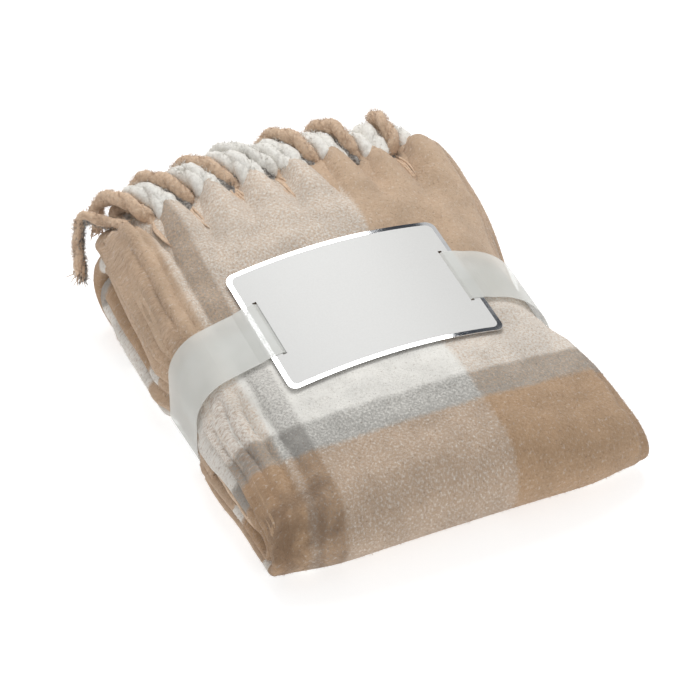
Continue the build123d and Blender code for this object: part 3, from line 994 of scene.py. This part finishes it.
def mirror_material():
    """Metallised board: a bright mirror with faint unevenness."""
    nodes = Nodes("mirror_board")
    place = nodes.add("ShaderNodeTexCoord").outputs["Object"]
    uneven = nodes.noise(place, 70.0, 2.0)
    nodes.link(nodes.bump(uneven, 0.10 * MM, 0.25), nodes.shader.inputs["Normal"])
    nodes.link(nodes.between(uneven, 0.3, 0.7, 0.05, 0.10), nodes.shader.inputs["Roughness"])
    nodes.shader.inputs["Base Color"].default_value = (0.93, 0.94, 0.95, 1)
    nodes.shader.inputs["Metallic"].default_value = 1.0
    return nodes.material


def panel_material():
    """Blank printed layer: smooth coated paper."""
    nodes = Nodes("print_panel")
    place = nodes.add("ShaderNodeTexCoord").outputs["Object"]
    fibres = nodes.noise(place, 900.0, 3.0)
    tint = nodes.mix(nodes.between(fibres, 0.3, 0.7), srgb(207, 207, 205), srgb(210, 210, 208))
    nodes.link(tint, nodes.shader.inputs["Base Color"])
    nodes.link(nodes.bump(fibres, 0.04 * MM, 0.15), nodes.shader.inputs["Normal"])
    nodes.shader.inputs["Roughness"].default_value = 0.42
    return nodes.material


def floor_material():
    nodes = Nodes("studio_floor")
    nodes.shader.inputs["Base Color"].default_value = (0.6, 0.6, 0.6, 1)
    nodes.shader.inputs["Emission Color"].default_value = (1, 1, 1, 1)
    nodes.shader.inputs["Emission Strength"].default_value = 0.66
    nodes.shader.inputs["Roughness"].default_value = 0.9
    nodes.shader.inputs["Specular IOR Level"].default_value = 0.0
    return nodes.material


def flag_material():
    """Dark card that the mirror board picks up as slate-grey glints."""
    nodes = Nodes("studio_flag")
    nodes.shader.inputs["Base Color"].default_value = (0.03, 0.035, 0.045, 1)
    nodes.shader.inputs["Roughness"].default_value = 1.0
    return nodes.material


# ---- studio ----------------------------------------------------------------------------------
CAMERA_AZIMUTH = math.radians(-25.26)
CAMERA_ELEVATION = math.radians(37.62)
CAMERA_DISTANCE = 1.741
CAMERA_TARGET = Vector((-0.026, -0.048, 0.072))
CAMERA_LENS = 144.1


def make_camera():
    back = Vector((
        math.sin(CAMERA_AZIMUTH) * math.cos(CAMERA_ELEVATION),
        -math.cos(CAMERA_AZIMUTH) * math.cos(CAMERA_ELEVATION),
        math.sin(CAMERA_ELEVATION),
    ))
    camera = bpy.data.objects.new("camera", bpy.data.cameras.new("camera"))
    bpy.context.scene.collection.objects.link(camera)
    camera.location = CAMERA_TARGET + back * CAMERA_DISTANCE
    camera.rotation_euler = (-back).to_track_quat("-Z", "Y").to_euler()
    camera.data.lens = CAMERA_LENS
    camera.data.sensor_width = 36
    camera.data.clip_start = 0.05
    camera.data.clip_end = 50
    bpy.context.scene.camera = camera


def area_light(name, place, size, power, target=(0, 0, 0.04)):
    light = bpy.data.lights.new(name, "AREA")
    light.shape = "DISK"
    light.size = size
    light.energy = power
    holder = bpy.data.objects.new(name, light)
    bpy.context.scene.collection.objects.link(holder)
    holder.location = place
    holder.rotation_euler = (Vector(place) - Vector(target)).to_track_quat("Z", "Y").to_euler()


def make_studio():
    floor = new_mesh_object(
        "floor", [(-6, -6, 0), (6, -6, 0), (6, 6, 0), (-6, 6, 0)], [(0, 1, 2, 3)], floor_material()
    )
    floor.location.z = -0.0002
    world = bpy.data.worlds.new("studio")
    world.use_nodes = True
    world.node_tree.nodes["Background"].inputs["Color"].default_value = (1, 1, 1, 1)
    world.node_tree.nodes["Background"].inputs["Strength"].default_value = 0.58
    bpy.context.scene.world = world
    area_light("key", (0.45, 0.95, 1.55), 1.3, 22.0)
    area_light("fill", (-0.5, -1.4, 1.3), 1.4, 2.0)
    flag = new_mesh_object(
        "flag", [(0.5, 0.62, 0.62), (0.66, 0.42, 0.62), (0.60, 0.38, 0.8), (0.44, 0.58, 0.8)],
        [(0, 1, 2, 3)], flag_material(),
    )
    view = bpy.context.scene.view_settings
    view.view_transform = "Standard"
    view.exposure = 0.0


# ---- assembly --------------------------------------------------------------------------------
def repaint(node, material):
    """Give a CAD node that keeps its own mesh a better material."""
    piece = bpy.data.objects[node]
    for slot in piece.material_slots:
        slot.material = material


make_camera()
make_studio()

camel_yarn = yarn_material("camel_yarn", srgb(220, 193, 166), srgb(201, 173, 147))
cream_yarn = yarn_material("cream_yarn", CREAM, srgb(229, 226, 219))
grey_yarn = yarn_material("grey_yarn", GREY, srgb(96, 92, 90))

plaid = plaid_material()
throw = make_cloth(plaid)
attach(throw, "blanket")
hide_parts("blanket_cloth")
nap = make_nap(throw, plaid, 60000)
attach(nap, "blanket")

gathers = make_gathers(camel_yarn)
outer = make_outer_tassels(
    [camel_yarn, camel_yarn, camel_yarn, cream_yarn, camel_yarn, camel_yarn, camel_yarn]
)
lower = make_lower_fringe([cream_yarn, grey_yarn, camel_yarn, cream_yarn], camel_yarn)
inner = make_inner_fringe([camel_yarn, cream_yarn, grey_yarn])

repaint("band_film", film_material())
repaint("band_tape", tape_material())
repaint("card_board", mirror_material())
repaint("card_print_panel", panel_material())
